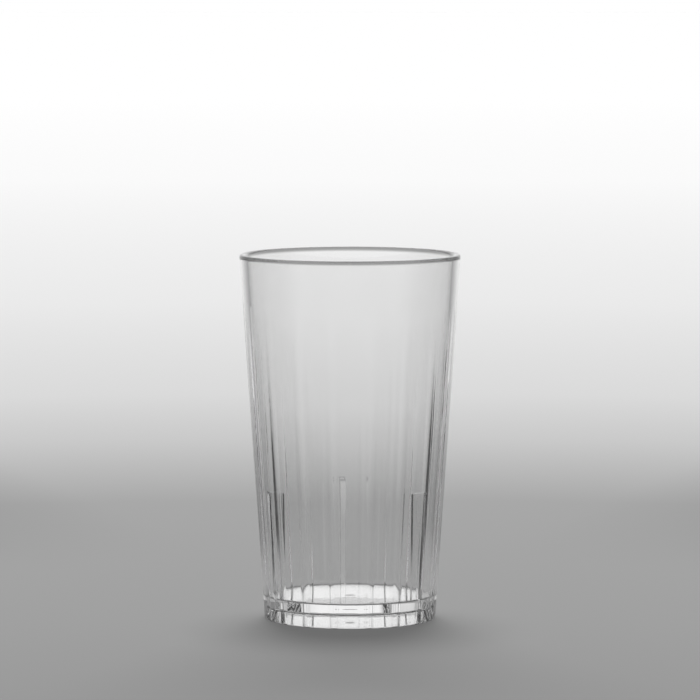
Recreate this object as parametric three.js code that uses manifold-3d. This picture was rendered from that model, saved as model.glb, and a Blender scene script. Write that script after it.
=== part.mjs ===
// Clear moulded drinking tumbler: one tapered single-wall moulding with shallow
// flutes outside, three stacking ribs inside and a recessed base on a foot ring.
// Millimetres, +Z up, origin at the centre of the foot on the table.
import * as THREE from 'three';
import { mergeVertices } from 'three/addons/utils/BufferGeometryUtils.js';
import Module from 'manifold-3d';

// Overall form
const height = 129.4;
const rimRadius = 39.2;
const footRadius = 30.4;

// Wall, lip and floor
const wall = 2.4;
const wallMiddle = 2.6;
const rimWall = 3;
const thickenFrom = 70;
const lipEdge = 0.8;
const lipRound = 1.7;
const floorThickness = 3.25;
const floorFillet = 0.8;

// Foot ring and the recess it stands round
const recessDepth = 5.05;
const footWidth = 1.4;
const footEdge = 0.5;
const recessDraft = 20;
const recessFillet = 1.2;

// Gate mark at the middle of the underside
const gateRadius = 2;
const gateDepth = 0.1;

// Flutes: in each third of the wall a wide land, then evenly spaced flutes
const thirds = 3;
const flutesPerThird = 6;
const fluteTurn = 1;
const wideLandPitch = 23;
const fluteRadius = 2.4;
const fluteDepth = 0.6;
const fluteTop = 112;

// Stacking ribs: angles from the front, towards +X
const ribAngles = [55.5, 185.5, 298.5];
const ribWidth = 2;
const ribTop = 46.7;
const ribReach = 4.7;
const ribFall = 0.45;
const ribDraft = 1.2;
const ribEdge = 0.5;
const rootOverlap = 0.8;

// How finely the round forms are divided
const turnSegments = 96;
const arcStep = 18;
const cornerShare = 0.6;
const fluteSides = 36;
const weld = 1e-4;

const degree = Math.PI / 180;
const wallSlope = (rimRadius - footRadius) / height;
const floorTop = recessDepth + floorThickness;

const wasm = await Module();
wasm.setup();

// Radius of the plain outer cone at a height
function outerRadius(z) {
  return footRadius + wallSlope * z;
}

// Radius of the inner wall at a height, with the wall growing faster above thickenFrom
function innerRadius(z) {
  if (z < thickenFrom) {
    return outerRadius(z) - wall - ((wallMiddle - wall) * z) / thickenFrom;
  }
  const share = (z - thickenFrom) / (height - thickenFrom);
  return outerRadius(z) - wallMiddle - (rimWall - wallMiddle) * share;
}

// A corner of an outline, with the radius that rounds it
function corner(r, z, round = 0) {
  return { at: new THREE.Vector2(r, z), round };
}

// The arc that rounds one corner, limited by the shorter edge beside it
function roundedCorner(before, { at, round }, after) {
  if (round === 0) {
    return [at];
  }
  const toBefore = before.at.clone().sub(at);
  const toAfter = after.at.clone().sub(at);
  const room = Math.min(toBefore.length(), toAfter.length());
  toBefore.normalize();
  toAfter.normalize();
  const halfAngle = Math.acos(toBefore.dot(toAfter)) / 2;
  const back = Math.min(round / Math.tan(halfAngle), room * cornerShare);
  const radius = back * Math.tan(halfAngle);
  const bisector = toBefore.clone().add(toAfter).normalize();
  const centre = at.clone().addScaledVector(bisector, radius / Math.sin(halfAngle));
  const first = at.clone().addScaledVector(toBefore, back).sub(centre);
  const last = at.clone().addScaledVector(toAfter, back).sub(centre);
  const sweep = Math.atan2(first.cross(last), first.dot(last));
  const steps = Math.max(1, Math.round(Math.abs(sweep) / (arcStep * degree)));
  const points = [];
  for (let i = 0; i <= steps; i += 1) {
    const turned = first.clone().rotateAround(new THREE.Vector2(), (sweep * i) / steps);
    points.push(turned.add(centre));
  }
  return points;
}

// An outline through the corners; its two end corners stay sharp
function roundedOutline(corners) {
  return corners.flatMap((point, i) => {
    const before = corners[Math.max(i - 1, 0)];
    const after = corners[Math.min(i + 1, corners.length - 1)];
    return roundedCorner(before, point, after);
  });
}

// A closed three.js geometry as a solid that can be joined and cut
function solidFrom(geometry) {
  const bare = geometry.clone();
  bare.deleteAttribute('normal');
  bare.deleteAttribute('uv');
  const merged = mergeVertices(bare, weld);
  const index = merged.index.array;
  const triangles = [];
  for (let i = 0; i < index.length; i += 3) {
    const [a, b, c] = index.slice(i, i + 3);
    if (a !== b && b !== c && c !== a) {
      triangles.push(a, b, c);
    }
  }
  return new wasm.Manifold(new wasm.Mesh({
    numProp: 3,
    vertProperties: new Float32Array(merged.attributes.position.array),
    triVerts: new Uint32Array(triangles),
  }));
}

// A solid as a geometry with flat faces
function geometryFrom(solid) {
  const mesh = solid.getMesh();
  const geometry = new THREE.BufferGeometry();
  geometry.setAttribute('position', new THREE.BufferAttribute(mesh.vertProperties, 3));
  geometry.setIndex(new THREE.BufferAttribute(mesh.triVerts, 1));
  geometry.computeVertexNormals();
  return geometry;
}

// The direction from the axis at an angle from the front, towards +X
function outward(angle) {
  return new THREE.Vector3(Math.sin(angle * degree), -Math.cos(angle * degree), 0);
}

// The turned body: underside, foot ring, outer wall, lip, inner wall and floor
function turnedBody() {
  const recessRun = recessDepth * Math.tan(recessDraft * degree);
  const recessFoot = footRadius - footWidth;
  const profile = roundedOutline([
    corner(0, recessDepth + gateDepth),
    corner(gateRadius, recessDepth + gateDepth),
    corner(gateRadius, recessDepth),
    corner(recessFoot - recessRun, recessDepth, recessFillet),
    corner(recessFoot, 0, footEdge),
    corner(footRadius, 0, footEdge),
    corner(rimRadius, height, lipEdge),
    corner(rimRadius - rimWall, height, lipRound),
    corner(innerRadius(thickenFrom), thickenFrom),
    corner(innerRadius(floorTop), floorTop, floorFillet),
    corner(0, floorTop),
  ]);
  const turned = new THREE.LatheGeometry(profile, turnSegments);
  turned.rotateX(Math.PI / 2);
  return solidFrom(turned);
}

// The round cutter of one flute, deepest at the foot and running out at fluteTop
function fluteCutter(angle) {
  const overrun = 2 * fluteRadius;
  const low = outward(angle).multiplyScalar(footRadius - fluteDepth + fluteRadius);
  const high = outward(angle).multiplyScalar(outerRadius(fluteTop) + fluteRadius);
  high.z = fluteTop;
  const along = high.clone().sub(low);
  const cutter = new THREE.CylinderGeometry(
    fluteRadius, fluteRadius, along.length() + 2 * overrun, fluteSides);
  const up = new THREE.Vector3(0, 1, 0);
  cutter.applyQuaternion(new THREE.Quaternion().setFromUnitVectors(up, along.normalize()));
  const middle = low.add(high).multiplyScalar(0.5);
  cutter.translate(middle.x, middle.y, middle.z);
  return solidFrom(cutter);
}

// The angles of all flutes round the wall
function fluteAngles() {
  const third = 360 / thirds;
  const pitch = (third - wideLandPitch) / (flutesPerThird - 1);
  const angles = [];
  for (let part = 0; part < thirds; part += 1) {
    for (let i = 0; i < flutesPerThird; i += 1) {
      angles.push(fluteTurn + part * third + wideLandPitch / 2 + i * pitch);
    }
  }
  return angles;
}

// One stacking rib: a shelf that falls inwards from ribTop and a drafted inner edge,
// rooted in wall and floor
function stackingRib(angle) {
  const shelf = innerRadius(ribTop);
  const edge = shelf - ribReach;
  const edgeTop = ribTop - ribFall;
  const rise = (ribFall / ribReach) * rootOverlap;
  const root = floorTop - rootOverlap;
  const lean = (edgeTop - root) * Math.tan(ribDraft * degree);
  const outline = roundedOutline([
    corner(shelf + rootOverlap, ribTop + rise),
    corner(edge, edgeTop, ribEdge),
    corner(edge - lean, root),
    corner(innerRadius(root) + rootOverlap, root),
  ]);
  const rib = new THREE.ExtrudeGeometry(new THREE.Shape(outline), {
    depth: ribWidth,
    bevelEnabled: false,
  });
  rib.translate(0, 0, -ribWidth / 2);
  const out = outward(angle);
  const up = new THREE.Vector3(0, 0, 1);
  rib.applyMatrix4(new THREE.Matrix4().makeBasis(out, up, out.clone().cross(up)));
  return solidFrom(rib);
}

let tumbler = turnedBody();
for (const angle of fluteAngles()) {
  tumbler = tumbler.subtract(fluteCutter(angle));
}
for (const angle of ribAngles) {
  tumbler = tumbler.add(stackingRib(angle));
}

const clearPlastic = new THREE.MeshStandardMaterial({
  color: 0xeef1f2,
  roughness: 0.05,
  metalness: 0,
  transparent: true,
  opacity: 0.3,
});

const body = new THREE.Mesh(geometryFrom(tumbler), clearPlastic);
body.name = 'tumbler_body';

const part = new THREE.Group();
part.add(body);

export default part;
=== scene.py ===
import math

import bpy
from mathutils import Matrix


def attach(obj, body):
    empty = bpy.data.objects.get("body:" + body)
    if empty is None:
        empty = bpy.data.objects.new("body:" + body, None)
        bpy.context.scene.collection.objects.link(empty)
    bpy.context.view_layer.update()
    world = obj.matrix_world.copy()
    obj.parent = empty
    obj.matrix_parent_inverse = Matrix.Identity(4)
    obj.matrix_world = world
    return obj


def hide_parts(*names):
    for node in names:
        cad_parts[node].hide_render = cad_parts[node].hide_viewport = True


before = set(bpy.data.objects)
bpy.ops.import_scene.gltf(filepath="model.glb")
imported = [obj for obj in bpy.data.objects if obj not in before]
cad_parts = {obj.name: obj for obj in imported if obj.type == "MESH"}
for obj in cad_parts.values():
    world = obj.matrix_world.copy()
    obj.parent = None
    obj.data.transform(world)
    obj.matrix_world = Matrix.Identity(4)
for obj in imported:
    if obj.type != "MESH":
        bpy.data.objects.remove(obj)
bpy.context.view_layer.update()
mm = 0.001  # in metres
scene = bpy.context.scene


def linearColor(hexCode):  # from sRGB
    channels = [int(hexCode[i:i + 2], 16) / 255 for i in (1, 3, 5)]
    linear = [c / 12.92 if c <= 0.04045 else ((c + 0.055) / 1.055) ** 2.4 for c in channels]
    return (*linear, 1.0)


def addNode(tree, kind, sockets=None, stops=(), **settings):
    node = tree.nodes.new(kind)
    for name, value in settings.items():
        setattr(node, name, value)
    for i, (position, color) in enumerate(stops):  # a new colour ramp has two stops
        elements = node.color_ramp.elements
        element = elements[i] if i < 2 else elements.new(position)
        element.position = position
        element.color = color
    for name, value in (sockets or {}).items():
        if isinstance(value, bpy.types.NodeSocket):
            tree.links.new(value, node.inputs[name])
        else:
            node.inputs[name].default_value = value
    return node


def addChain(tree, values, steps):  # a step is a name, a node, its operation and its terms
    for name, kind, operation, *terms in steps:
        sockets = {i: values.get(term, term) for i, term in enumerate(terms)}
        values[name] = addNode(tree, kind, sockets, operation=operation).outputs[0]


number = "ShaderNodeMath"
vector = "ShaderNodeVectorMath"
vectorData = "FLOAT_VECTOR"
mixShare, mixFirst, mixSecond, mixResult = 0, 6, 7, 2  # sockets of a Mix node that mixes colours


# Tumbler body: one clear moulding, lofted round its axis from three sections of the wall, in millimetres
tumbler = dict(
    height=129.4,
    rimRadius=39.2,        # of the plain outer cone at the rim
    footRadius=30.4,
    wall=2.4,              # at the foot
    wallMiddle=2.6,        # at thickenFrom
    rimWall=3.0,
    lipEdge=0.8,           # outer corner of the lip
    lipRound=1.7,          # inner corner
    thickenFrom=70.0,      # above this the wall grows faster towards the lip
    floorThickness=3.25,
    floorFillet=0.8,
    recessDepth=5.05,
    recessDraft=20.0,      # degrees, the recess narrows upwards
    recessFillet=1.2,
    footWidth=1.4,
    footEdge=0.5,
    gateRadius=2.0,
    gateDepth=0.1,
    fluteTurn=1.0,         # degrees from the front to the middle of a wide land
    fluteWidth=6.0,        # degrees
    fluteDepth=0.6,        # at the foot
    fluteTop=112.0,        # where the flutes run out
    wideLand=23.0,         # degrees between the two flutes beside a wide land
    flutesPerThird=6,
    ribAngles=(55.5, 185.5, 298.5),
    ribWidth=2.0,
    ribTop=46.7,
    ribReach=4.7,
    ribFall=0.45,          # the shelf falls this far towards its inner edge
    ribEdge=0.5,
    ribDraft=1.2,          # degrees, the inner edge leans out towards the shelf
    ribRoot=0.02,          # degrees between a rib's side and the wall beside it
    ribRowDrop=0.04,       # on the plain wall, each row of a rib's corner lies this much lower again
    ribRowGap=0.6,         # from a rib's rounded corner down to where its next rows start
    columns=720,
    gateRows=5,
    edgeRows=7,            # on the arc of a foot edge
    cornerRows=9,          # on the recess fillet, the lip's outer corner and a rib's edge
    roundRows=11,          # on the lip's inner corner and the floor's fillet
    creaseAngle=35.0,      # degrees, above which an edge stays sharp
    weld=0.001,            # points closer than this become one
)


def arcPoints(centre, radius, startDegrees, endDegrees, count):
    points = []
    for i in range(count):
        angle = math.radians(startDegrees + (endDegrees - startDegrees) * i / (count - 1))
        points.append((centre[0] + radius * math.cos(angle), centre[1] + radius * math.sin(angle)))
    return points


def straightPoints(start, end, between=0, guard=0.12):  # a guard row near each end keeps the run flat
    length = math.dist(start, end)
    inside = [i / (between + 1) for i in range(1, between + 1)]
    shares = [guard / length, *inside, 1 - guard / length]
    return [(start[0] + (end[0] - start[0]) * k, start[1] + (end[1] - start[1]) * k) for k in shares]


def wallSections(t):
    slope = (t["rimRadius"] - t["footRadius"]) / t["height"]
    lean = math.degrees(math.atan(slope))
    floorTop = t["recessDepth"] + t["floorThickness"]

    def outer(z):
        return t["footRadius"] + slope * z

    def inner(z):
        if z < t["thickenFrom"]:
            return outer(z) - t["wall"] - (t["wallMiddle"] - t["wall"]) * z / t["thickenFrom"]
        share = (z - t["thickenFrom"]) / (t["height"] - t["thickenFrom"])
        return outer(z) - t["wallMiddle"] - (t["rimWall"] - t["wallMiddle"]) * share

    def press(z):
        return -t["fluteDepth"] * max(0.0, 1 - z / t["fluteTop"])

    def back(radius, angle):  # from a corner to the start of its arc, for walls that turn by angle
        return radius * math.tan(math.radians(angle / 2))

    # underside: gate mark, roof of the recess, its fillet and its drafted side
    roof = t["recessDepth"]
    draft = t["recessDraft"]
    gateShares = [i / t["gateRows"] for i in range(t["gateRows"] + 1)]
    gate = [(t["gateRadius"] * k, roof + t["gateDepth"] * (1 - k * k)) for k in gateShares]
    recessFoot = t["footRadius"] - t["footWidth"]
    recessTop = recessFoot - roof * math.tan(math.radians(draft))
    fillet = t["recessFillet"]
    roofCentre = (recessTop - back(fillet, 90 - draft), roof - fillet)
    roofArc = arcPoints(roofCentre, fillet, 90, draft, t["cornerRows"])
    edge = t["footEdge"]
    innerCentre = (recessFoot + back(edge, 90 - draft), edge)
    innerEdge = arcPoints(innerCentre, edge, 180 + draft, 270, t["edgeRows"])
    outerCentre = (t["footRadius"] - back(edge, 90 - lean), edge)
    outerEdge = arcPoints(outerCentre, edge, 270, 360 - lean, t["edgeRows"])
    under = gate + straightPoints(gate[-1], roofArc[0], between=2) + roofArc
    under += straightPoints(roofArc[-1], innerEdge[0]) + innerEdge
    under += straightPoints(innerEdge[-1], outerEdge[0])

    # outer wall, then the lip with its two round corners
    fluteEnd = (outer(t["fluteTop"]), t["fluteTop"])
    lipEdge = t["lipEdge"]
    lipOutCentre = (t["rimRadius"] - back(lipEdge, 90 + lean), t["height"] - lipEdge)
    lipOut = arcPoints(lipOutCentre, lipEdge, -lean, 90, t["cornerRows"])
    lipRound = t["lipRound"]
    innerRim = t["rimRadius"] - t["rimWall"]
    innerRun = innerRim - inner(t["thickenFrom"])
    innerLean = math.degrees(math.atan(innerRun / (t["height"] - t["thickenFrom"])))
    lipInCentre = (innerRim + back(lipRound, 90 - innerLean), t["height"] - lipRound)
    lipIn = arcPoints(lipInCentre, lipRound, 90, 180 - innerLean, t["roundRows"])
    out = outerEdge + straightPoints(outerEdge[-1], fluteEnd, between=10)
    out += straightPoints(fluteEnd, lipOut[0], between=2)
    lip = lipOut + straightPoints(lipOut[-1], lipIn[0]) + lipIn

    # inner wall above the ribs
    thick = (inner(t["thickenFrom"]), t["thickenFrom"])
    shelf = (inner(t["ribTop"]), t["ribTop"])
    upper = straightPoints(lipIn[-1], thick, between=6) + straightPoints(thick, shelf, between=2)

    # a rib's shelf, rounded corner and drafted inner edge; elsewhere these rows lie on the wall
    bend = t["ribEdge"]
    ribFace = shelf[0] - t["ribReach"]
    ribTilt = math.degrees(math.atan(t["ribFall"] / t["ribReach"]))
    ribFoot = t["ribTop"] - t["ribFall"] - bend
    ribArc = arcPoints((ribFace + bend, ribFoot), bend, 90 + ribTilt, 180, t["cornerRows"])
    ribCorner = straightPoints(shelf, ribArc[0], between=1) + ribArc
    ribLean = math.tan(math.radians(t["ribDraft"]))
    floorFillet = t["floorFillet"]
    floorCentre = (inner(floorTop) - back(floorFillet, 90 + lean), floorTop + floorFillet)
    floorArc = arcPoints(floorCentre, floorFillet, -lean, -90, t["roundRows"])
    belowZ = ribFoot - t["ribRowGap"]
    low = straightPoints((inner(belowZ), belowZ), floorArc[0], between=8) + floorArc
    floor = straightPoints(floorArc[-1], (0.0, floorTop), between=3)[:-1] + [(0.0, floorTop)]

    rows = [(r, z, 0.0, 0.0, 0.0) for r, z in under]  # radius, height, flute pull, rib pull in r and z
    rows += [(r, z, press(z), 0.0, 0.0) for r, z in out]
    rows += [(r, z, 0.0, 0.0, 0.0) for r, z in lip + upper]
    for i, (r, z) in enumerate(ribCorner):
        landZ = z - t["ribRowDrop"] * (i + 1)
        rows.append((inner(landZ), landZ, 0.0, r - inner(landZ), z - landZ))
    for r, z in low:
        ribRadius = ribFace - ribLean * (ribFoot - z)
        rows.append((r, z, 0.0, min(0.0, ribRadius - r), 0.0))
    rows += [(r, z, 0.0, 0.0, 0.0) for r, z in floor]
    return rows


def sectionMesh(rows):
    mesh = bpy.data.meshes.new("wallSection")
    points = [(r * mm, 0.0, z * mm) for r, z, *_ in rows]
    mesh.from_pydata(points, [(i, i + 1) for i in range(len(rows) - 1)], [])
    flutePull = mesh.attributes.new("flutePull", vectorData, "POINT")
    ribPull = mesh.attributes.new("ribPull", vectorData, "POINT")
    for i, (_, _, flute, ribOut, ribUp) in enumerate(rows):
        flutePull.data[i].vector = (flute * mm, 0.0, 0.0)
        ribPull.data[i].vector = (ribOut * mm, 0.0, ribUp * mm)
    return mesh


def loftTree(t, rowCount):
    ribCount = len(t["ribAngles"])
    third = 120  # degrees, after which the flutes repeat
    sectionTurn = 90  # degrees from the front to +X, where the section stands
    tree = bpy.data.node_groups.new("tumblerLoft", "GeometryNodeTree")
    face = tree.interface
    face.new_socket("Section", in_out="INPUT", socket_type="NodeSocketGeometry")
    face.new_socket("Columns", in_out="INPUT", socket_type="NodeSocketInt")
    for name in ("Flute turn", "Wide land", "Flutes in a third", "Flute width",
                 "Rib half width", "Rib root"):
        face.new_socket(name, in_out="INPUT", socket_type="NodeSocketFloat")
    for i in range(ribCount):
        face.new_socket(f"Rib {i}", in_out="INPUT", socket_type="NodeSocketFloat")
    face.new_socket("Clear plastic", in_out="INPUT", socket_type="NodeSocketMaterial")
    face.new_socket("Body", in_out="OUTPUT", socket_type="NodeSocketGeometry")
    values = {socket.name: socket for socket in addNode(tree, "NodeGroupInput").outputs if socket.name}
    values["index"] = addNode(tree, "GeometryNodeInputIndex").outputs[0]

    # a grid of section rows by columns round the axis
    addChain(tree, values, [
        ("around", number, "ADD", "Columns", 1),
        ("half index", number, "ADD", "index", 0.5),
        ("row share", number, "DIVIDE", "half index", "around"),
        ("row", number, "FLOOR", "row share"),
        ("row start", number, "MULTIPLY", "row", "around"),
        ("column", number, "SUBTRACT", "index", "row start"),
        ("step", number, "DIVIDE", 360, "Columns"),
        ("turn", number, "MULTIPLY", "column", "step"),
        ("rib reach", number, "ADD", "Rib half width", "step"),
        ("rib wall", number, "ADD", "Rib half width", "Rib root"),
        ("rib columns", number, "DIVIDE", "Rib half width", "step"),
        ("full columns", number, "FLOOR", "rib columns"),
        ("widen", number, "DIVIDE", "rib columns", "full columns"),
    ])
    grid = addNode(tree, "GeometryNodeMeshGrid", {"Vertices X": rowCount, "Vertices Y": values["around"]})

    # columns beside a rib move to its two sides, so that these stand square to the wall
    values["rib share"] = 0.0
    values["fin side"] = 0.0
    for i in range(ribCount):
        addChain(tree, values, [
            ("from rib", number, "SUBTRACT", "turn", f"Rib {i}"),
            ("delta", number, "WRAP", "from rib", 180, -180),
            ("away", number, "ABSOLUTE", "delta"),
            ("side", number, "SIGN", "delta"),
            ("inside", number, "LESS_THAN", "away", "Rib half width"),
            ("near", number, "LESS_THAN", "away", "rib reach"),
            ("beside", number, "SUBTRACT", "near", "inside"),
            ("widened", number, "MULTIPLY", "away", "widen"),
            ("on rib", number, "MULTIPLY", "inside", "widened"),
            ("wanted", number, "MULTIPLY_ADD", "beside", "rib wall", "on rib"),
            ("given", number, "MULTIPLY", "near", "away"),
            ("move", number, "SUBTRACT", "wanted", "given"),
            ("turn", number, "MULTIPLY_ADD", "move", "side", "turn"),
            ("rib share", number, "ADD", "rib share", "inside"),
            ("fin side", number, "MULTIPLY_ADD", "on rib", "side", "fin side"),
        ])

    # share of a flute at this angle: 1 in its middle, 0 on the lands
    addChain(tree, values, [
        ("from first", number, "SUBTRACT", "turn", "Flute turn"),
        ("in third", number, "FLOORED_MODULO", "from first", third),
        ("half land", number, "MULTIPLY", "Wide land", 0.5),
        ("along", number, "SUBTRACT", "in third", "half land"),
        ("gaps", number, "SUBTRACT", "Flutes in a third", 1),
        ("fluted", number, "SUBTRACT", third, "Wide land"),
        ("pitch", number, "DIVIDE", "fluted", "gaps"),
        ("flute count", number, "DIVIDE", "along", "pitch"),
        ("rounded", number, "ROUND", "flute count"),
        ("at least", number, "MAXIMUM", "rounded", 0),
        ("nearest", number, "MINIMUM", "at least", "gaps"),
        ("middle", number, "MULTIPLY", "nearest", "pitch"),
        ("aside", number, "SUBTRACT", "along", "middle"),
        ("twice", number, "MULTIPLY", "aside", 2),
        ("across", number, "DIVIDE", "twice", "Flute width"),
        ("squared", number, "MULTIPLY", "across", "across"),
        ("hollow", number, "SUBTRACT", 1, "squared"),
        ("flute share", number, "MAXIMUM", "hollow", 0),
    ])

    # each row's place and pulls from the section, turned round the axis
    fields = {"place": addNode(tree, "GeometryNodeInputPosition")}
    for name in ("flutePull", "ribPull"):
        fields[name] = addNode(tree, "GeometryNodeInputNamedAttribute", {"Name": name}, data_type=vectorData)
    for name, field in fields.items():
        links = {"Geometry": values["Section"], "Value": field.outputs[0], "Index": values["row"]}
        values[name] = addNode(tree, "GeometryNodeSampleIndex", links, data_type=vectorData).outputs[0]
    for name, source in (("wall radius", "place"), ("rib inset", "ribPull")):
        values[name] = addNode(tree, "ShaderNodeSeparateXYZ", {0: values[source]}).outputs["X"]
    addChain(tree, values, [
        ("flute pull", vector, "MULTIPLY", "flutePull", "flute share"),
        ("rib pull", vector, "MULTIPLY", "ribPull", "rib share"),
        ("fluted place", vector, "ADD", "place", "flute pull"),
        ("ribbed place", vector, "ADD", "fluted place", "rib pull"),
        ("rib radius", number, "ADD", "wall radius", "rib inset"),
        ("spread", number, "DIVIDE", "wall radius", "rib radius"),
        ("spread more", number, "SUBTRACT", "spread", 1),
        ("square turn", number, "MULTIPLY_ADD", "fin side", "spread more", "turn"),
        ("from section", number, "SUBTRACT", "square turn", sectionTurn),
        ("radians", number, "RADIANS", "from section"),
    ])
    links = {"Vector": values["ribbed place"], "Angle": values["radians"]}
    spun = addNode(tree, "ShaderNodeVectorRotate", links, rotation_type="Z_AXIS").outputs[0]
    links = {"Geometry": grid.outputs["Mesh"], "Position": spun}
    lofted = addNode(tree, "GeometryNodeSetPosition", links).outputs[0]
    links = {"Geometry": lofted, "Distance": t["weld"] * mm}
    welded = addNode(tree, "GeometryNodeMergeByDistance", links).outputs[0]
    closed = addNode(tree, "GeometryNodeFlipFaces", {"Mesh": welded}).outputs[0]  # outwards

    # smooth faces, with a crease where the moulding has a real edge
    smooth = addNode(tree, "GeometryNodeSetShadeSmooth", {"Geometry": closed, "Shade Smooth": True})
    values["bend"] = addNode(tree, "GeometryNodeInputMeshEdgeAngle").outputs[0]
    addChain(tree, values, [("crease", number, "GREATER_THAN", "bend", math.radians(t["creaseAngle"]))])
    links = {"Geometry": smooth.outputs[0], "Selection": values["crease"], "Shade Smooth": False}
    creased = addNode(tree, "GeometryNodeSetShadeSmooth", links, domain="EDGE").outputs[0]
    real = addNode(tree, "GeometryNodeRealizeInstances", {"Geometry": creased}).outputs[0]
    links = {"Geometry": real, "Material": values["Clear plastic"]}
    finished = addNode(tree, "GeometryNodeSetMaterial", links).outputs[0]
    addNode(tree, "NodeGroupOutput", {0: finished})
    return tree


def makeTumbler(t, material):
    rows = wallSections(t)
    carrier = bpy.data.objects.new("sectionCarrier", sectionMesh(rows))
    scene.collection.objects.link(carrier)
    loft = carrier.modifiers.new("loft", "NODES")
    loft.node_group = loftTree(t, len(rows))
    widening = (t["rimRadius"] - t["footRadius"]) * t["ribTop"] / t["height"]
    ribRadius = t["footRadius"] - t["wall"] + widening  # of the wall where the ribs end
    values = {
        "Columns": t["columns"],
        "Flute turn": t["fluteTurn"],
        "Wide land": t["wideLand"],
        "Flutes in a third": float(t["flutesPerThird"]),
        "Flute width": t["fluteWidth"],
        "Rib half width": math.degrees(t["ribWidth"] / 2 / ribRadius),
        "Rib root": t["ribRoot"],
        "Clear plastic": material,
    }
    for i, angle in enumerate(t["ribAngles"]):
        values[f"Rib {i}"] = angle
    for item in loft.node_group.interface.items_tree:
        if item.in_out == "INPUT" and item.name in values:
            loft[item.identifier] = values[item.name]
    depsgraph = bpy.context.evaluated_depsgraph_get()
    mesh = bpy.data.meshes.new_from_object(carrier.evaluated_get(depsgraph), depsgraph=depsgraph)
    bpy.data.objects.remove(carrier)
    piece = bpy.data.objects.new("tumbler", mesh)
    scene.collection.objects.link(piece)
    mesh.name = "tumbler"
    return piece


# Clear SAN, injection moulded in a polished tool: glass-clear and glossy, faintly grey where it is thick,
# with slow upright waves where the melt flowed, a matt gate mark below and fine scuffs round the foot
plastic = dict(
    color="#FFFFFF",
    clouded="#FCFCFC",      # where the flow leaves it a little duller
    ior=1.57,
    cloudSize=24.0,         # mm
    waveSize=6.0,           # mm across, and longer up the wall
    waveStretch=6.0,
    waveHeight=0.012,       # mm
    scuffSize=0.6,          # mm; the real scuffs are finer, too fine to show
    scuffTop=0.9,           # mm above the table, where the scuffs end
    scuffRoughness=0.35,
    noiseDetail=2.0,        # finer layers in the clouds, waves and scuffs
    gateSoft=0.5,           # mm, soft edge of the matt gate mark
    gateRoughness=0.25,
    thickTint="#C9CACA",
    thickDensity=1.6,       # per metre
)


def clearMouldedSan(p, t):
    material = bpy.data.materials.new("clearMouldedSan")
    material.use_nodes = True
    tree = material.node_tree
    shader = tree.nodes["Principled BSDF"].inputs
    where = addNode(tree, "ShaderNodeTexCoord").outputs["Object"]
    place = addNode(tree, vector, {0: where, "Scale": 1 / mm}, operation="SCALE").outputs[0]  # in mm
    patterns = (
        ("cloud", p["cloudSize"], p["cloudSize"]),
        ("wave", p["waveSize"], p["waveSize"] * p["waveStretch"]),
        ("scuff", p["scuffSize"], p["scuffSize"]),
    )
    noises = {}
    for name, across, up in patterns:
        scale = (1 / across, 1 / across, 1 / up)
        spot = addNode(tree, "ShaderNodeMapping", {"Vector": place, "Scale": scale}).outputs[0]
        sockets = {"Vector": spot, "Scale": 1.0, "Detail": p["noiseDetail"]}
        noises[name] = addNode(tree, "ShaderNodeTexNoise", sockets).outputs[0]

    # scuffs fade out above the foot, and the matt gate mark lies under the middle of the floor
    parts = addNode(tree, "ShaderNodeSeparateXYZ", {0: place}).outputs
    values = {"x": parts["X"], "y": parts["Y"], "z": parts["Z"], "scuff noise": noises["scuff"]}
    addChain(tree, values, [
        ("x squared", number, "MULTIPLY", "x", "x"),
        ("across squared", number, "MULTIPLY_ADD", "y", "y", "x squared"),
        ("across", number, "SQRT", "across squared"),
        ("underside", number, "LESS_THAN", "z", t["recessDepth"] + t["floorThickness"] / 2),
    ])
    fades = (
        ("foot", "z", 0.0, p["scuffTop"]),
        ("gate", "across", t["gateRadius"] - p["gateSoft"], t["gateRadius"]),
    )
    for name, source, full, none in fades:
        sockets = {"Value": values[source], "From Min": full, "From Max": none}
        sockets.update({"To Min": 1.0, "To Max": 0.0})
        fade = addNode(tree, "ShaderNodeMapRange", sockets, interpolation_type="SMOOTHSTEP")
        values[name] = fade.outputs[0]
    addChain(tree, values, [
        ("scuffed", number, "MULTIPLY", "foot", "scuff noise"),
        ("scuff", number, "MULTIPLY", "scuffed", p["scuffRoughness"]),
        ("gate below", number, "MULTIPLY", "gate", "underside"),
        ("roughness", number, "MULTIPLY_ADD", "gate below", p["gateRoughness"], "scuff"),
    ])
    sockets = {mixFirst: linearColor(p["color"]), mixSecond: linearColor(p["clouded"])}
    sockets[mixShare] = noises["cloud"]
    tint = addNode(tree, "ShaderNodeMix", sockets, data_type="RGBA").outputs[mixResult]
    waves = addNode(tree, "ShaderNodeBump", {"Height": noises["wave"], "Distance": p["waveHeight"] * mm})
    drives = {"Base Color": tint, "Roughness": values["roughness"], "Normal": waves.outputs[0]}
    for name, socket in drives.items():
        tree.links.new(socket, shader[name])
    shader["IOR"].default_value = p["ior"]
    shader["Transmission Weight"].default_value = 1.0
    thick = {"Color": linearColor(p["thickTint"]), "Density": p["thickDensity"]}
    depth = addNode(tree, "ShaderNodeVolumeAbsorption", thick).outputs[0]
    tree.links.new(depth, tree.nodes["Material Output"].inputs["Volume"])
    return material


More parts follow.
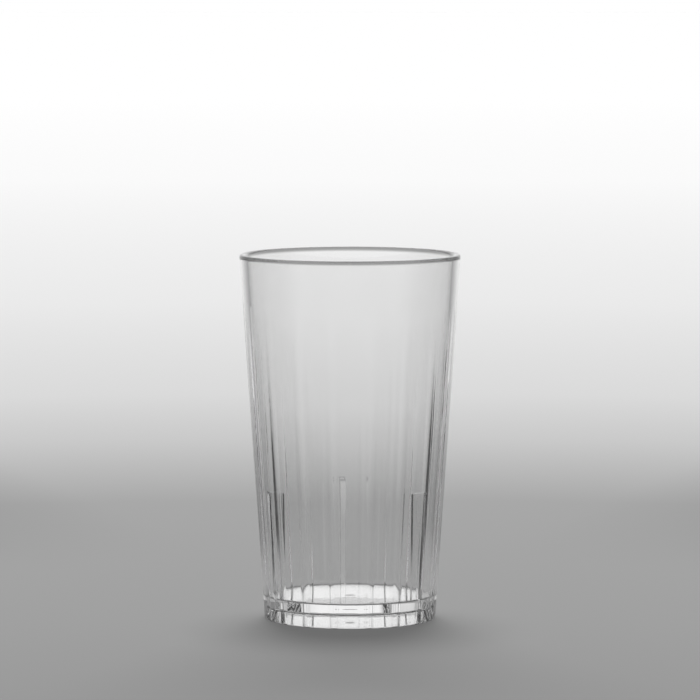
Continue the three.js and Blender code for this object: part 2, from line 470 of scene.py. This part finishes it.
# Studio: a sweep of matt paper, without shine, painted with light falloff: it pales with distance and dims
# to both sides at the back, and shows a darker painted shade where the plastic mirrors it
studio = dict(
    size=24.0,                 # metres
    darkest=(0.0, -0.3, 0.0),  # centre of the painted light falloff, just in front of the tumbler
    paintedFalloff=(                # painted light falloff, by metres from there
        (0.0, "#969696"), (0.14, "#999999"), (0.3, "#A0A0A0"), (0.64, "#A8A8A8"), (0.88, "#C9C9C9"),
        (1.1, "#DADADA"), (1.7, "#EAEAEA"), (3.2, "#FAFAFA"), (5.3, "#FFFFFF"),
    ),
    dimAside=(                 # degrees from straight behind, painted light falloff to both sides
        (0, 1.0), (18, 1.0), (37, 0.5), (52, 0.44), (65, 0.57), (80, 0.95), (180, 1.0),
    ),
    mirrorAside=(              # painted shade, darker to the sides, as the plastic mirrors it
        (0, 1.0), (15, 1.0), (37, 0.52), (55, 0.14), (80, 0.05), (180, 0.06),
    ),
    dimReach=(0.15, 0.6),      # metres from the axis, where the dimming starts and is full
    mirrorReach=(0.1, 0.22),
)


def sweepWithPaintedLight(s):
    material = bpy.data.materials.new("sweepWithPaintedLight")
    material.use_nodes = True
    tree = material.node_tree
    reachesTo = s["paintedFalloff"][-1][0]
    where = addNode(tree, "ShaderNodeTexCoord").outputs["Object"]
    parts = addNode(tree, "ShaderNodeSeparateXYZ", {0: where}).outputs
    values = {"x": parts["X"], "y": parts["Y"]}
    addChain(tree, values, [
        ("angle", number, "ARCTAN2", "x", "y"),
        ("aside", number, "ABSOLUTE", "angle"),
        ("turned", number, "DIVIDE", "aside", math.pi),
    ])
    # painted light falloff: the floor pales with distance from its darkest spot in front of the tumbler
    ends = {0: where, 1: s["darkest"]}
    distance = addNode(tree, vector, ends, operation="DISTANCE").outputs["Value"]
    share = addNode(tree, "ShaderNodeMapRange", {"Value": distance, "From Max": reachesTo}).outputs[0]
    stops = [(metres / reachesTo, linearColor(hexCode)) for metres, hexCode in s["paintedFalloff"]]
    ramp = addNode(tree, "ShaderNodeValToRGB", {"Fac": share}, stops).outputs[0]
    far = addNode(tree, vector, {0: where}, operation="LENGTH").outputs["Value"]
    shades = []
    # painted light falloff to both sides; the second pass gives the darker painted shade that the plastic
    # mirrors
    for aside, reach in (("dimAside", "dimReach"), ("mirrorAside", "mirrorReach")):
        stops = [(degrees / 180, (level, level, level, 1.0)) for degrees, level in s[aside]]
        dim = addNode(tree, "ShaderNodeValToRGB", {"Fac": values["turned"]}, stops).outputs[0]
        sockets = {"Value": far, "From Min": s[reach][0], "From Max": s[reach][1]}
        away = addNode(tree, "ShaderNodeMapRange", sockets, interpolation_type="SMOOTHSTEP").outputs[0]
        sockets = {mixShare: away, mixFirst: ramp, mixSecond: dim}
        dimmed = addNode(tree, "ShaderNodeMix", sockets, data_type="RGBA", blend_type="MULTIPLY")
        shades.append(dimmed.outputs[mixResult])
    # painted shade: rays mirrored off the plastic see the floor darker to the sides
    mirrored = addNode(tree, "ShaderNodeLightPath").outputs["Glossy Depth"]
    sockets = {mixShare: mirrored, mixFirst: shades[0], mixSecond: shades[1]}
    shade = addNode(tree, "ShaderNodeMix", sockets, data_type="RGBA").outputs[mixResult]
    shader = tree.nodes["Principled BSDF"]
    tree.links.new(shade, shader.inputs["Base Color"])
    shader.inputs["Roughness"].default_value = 1.0
    shader.inputs["Specular IOR Level"].default_value = 0.0
    return material


def makeStage(s):
    half = s["size"] / 2
    mesh = bpy.data.meshes.new("floor")
    corners = [(-half, -half, 0), (half, -half, 0), (half, half, 0), (-half, half, 0)]
    mesh.from_pydata(corners, [], [(0, 1, 2, 3)])
    floor = bpy.data.objects.new("floor", mesh)
    mesh.materials.append(sweepWithPaintedLight(s))
    scene.collection.objects.link(floor)


# Light: an even fill and two lamps from behind fall on the floor, and the plastic shows a pale backdrop
light = dict(
    fill=0.44,              # even level that reaches the floor
    lamps=(                 # share of the light, then rise and spread in degrees
        ("lowBackLight", 0.23, 33.0, 36.0),
        ("highBackLight", 0.33, 76.0, 22.0),
    ),
    behind=((0, 1.0), (25, 1.0), (40, 0.1), (90, 0.045)),  # degrees above the horizon
    ahead=((0, 0.1), (0.6, 0.2), (1.2, 0.5), (2.5, 0.8), (14, 0.8), (25, 0.05), (90, 0.045)),
    plainAside=(            # degrees from straight behind
        (0, 1.0), (15, 1.0), (37, 0.6), (52, 0.62), (80, 0.9), (180, 0.95),
    ),
    mirrorAside=(           # as the plastic mirrors it
        (0, 1.0), (15, 1.0), (37, 0.6), (55, 0.2), (80, 0.06), (140, 0.03),
    ),
    aheadFrom=90.0,         # degrees from straight behind
    aheadFull=120.0,
)


def makeBackLights(s):
    for name, share, rise, spread in s["lamps"]:
        data = bpy.data.lights.new(name, "SUN")
        data.angle = math.radians(spread)
        data.energy = share * math.pi / math.sin(math.radians(rise))
        lamp = bpy.data.objects.new(name, data)
        lamp.rotation_euler = (math.radians(rise - 90), 0, 0)
        lamp.visible_glossy = False
        lamp.visible_transmission = False
        scene.collection.objects.link(lamp)


def makeWorld(s):
    world = bpy.data.worlds.new("studioLight")
    scene.world = world
    world.use_nodes = True
    tree = world.node_tree
    background = tree.nodes["Background"]
    way = addNode(tree, "ShaderNodeTexCoord").outputs["Generated"]
    parts = addNode(tree, "ShaderNodeSeparateXYZ", {0: way}).outputs
    values = {"x": parts["X"], "y": parts["Y"], "z": parts["Z"]}
    values.update({socket.name: socket for socket in addNode(tree, "ShaderNodeLightPath").outputs})
    addChain(tree, values, [
        ("elevation", number, "ARCSINE", "z"),
        ("rise", number, "DIVIDE", "elevation", math.pi / 2),
        ("angle", number, "ARCTAN2", "x", "y"),
        ("aside", number, "ABSOLUTE", "angle"),
        ("turned", number, "DIVIDE", "aside", math.pi),
        ("mirrored or straight", number, "MAXIMUM", "Is Camera Ray", "Is Glossy Ray"),
        ("on plastic", number, "MAXIMUM", "mirrored or straight", "Is Transmission Ray"),
        ("off the floor", number, "LESS_THAN", "Diffuse Depth", 0.5),
        ("seen", number, "MULTIPLY", "on plastic", "off the floor"),
    ])
    ramps = (
        ("behind", "rise", 90),  # degrees over the whole ramp
        ("ahead", "rise", 90),
        ("plainAside", "turned", 180),
        ("mirrorAside", "turned", 180),
    )
    for name, source, whole in ramps:
        stops = [(degrees / whole, (level, level, level, 1.0)) for degrees, level in s[name]]
        values[name] = addNode(tree, "ShaderNodeValToRGB", {"Fac": values[source]}, stops).outputs[0]
    values["front"] = addNode(tree, "ShaderNodeMapRange", {
        "Value": values["turned"],
        "From Min": s["aheadFrom"] / 180,
        "From Max": s["aheadFull"] / 180,
    }).outputs[0]
    values["even"] = (s["fill"], s["fill"], s["fill"], 1.0)
    mixes = (
        ("plain", "MULTIPLY", 1.0, "behind", "plainAside"),
        ("back", "MULTIPLY", 1.0, "behind", "mirrorAside"),
        ("mirror", "MIX", values["front"], "back", "ahead"),
        ("around", "MIX", values["Glossy Depth"], "plain", "mirror"),
        ("shown", "MIX", values["seen"], "even", "around"),
    )
    for name, blend, share, first, second in mixes:
        sockets = {mixShare: share, mixFirst: values[first], mixSecond: values[second]}
        mix = addNode(tree, "ShaderNodeMix", sockets, data_type="RGBA", blend_type=blend)
        values[name] = mix.outputs[mixResult]
    tree.links.new(values["shown"], background.inputs["Color"])


# Camera: metres and degrees, with the lens and sensor in millimetres
camera = dict(distance=1.65, height=0.244, tilt=5.15, lens=240.7, sensor=36.0, clipEnd=100.0)


def makeCamera(c):
    data = bpy.data.cameras.new("camera")
    data.lens = c["lens"]
    data.sensor_width = c["sensor"]
    data.clip_end = c["clipEnd"]
    viewer = bpy.data.objects.new("camera", data)
    viewer.location = (0, -c["distance"], c["height"])
    viewer.rotation_euler = (math.radians(90 - c["tilt"]), 0, 0)
    scene.collection.objects.link(viewer)
    scene.camera = viewer


bounces = dict(most=64, inPlastic=48)  # light that enters the lip reflects down inside the wall to the foot

scene.view_settings.view_transform = "Standard"
makeCamera(camera)
makeStage(studio)
makeBackLights(light)
makeWorld(light)
scene.cycles.max_bounces = bounces["most"]
scene.cycles.glossy_bounces = bounces["inPlastic"]
scene.cycles.transmission_bounces = bounces["inPlastic"]
print("stage, light and camera are set")

body = makeTumbler(tumbler, clearMouldedSan(plastic, tumbler))
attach(body, "root")
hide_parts("tumbler_body")
body.visible_diffuse = False  # clear plastic lets the even light through to the floor under it
print("tumbler:", len(body.data.vertices), "points,", len(body.data.polygons), "faces")
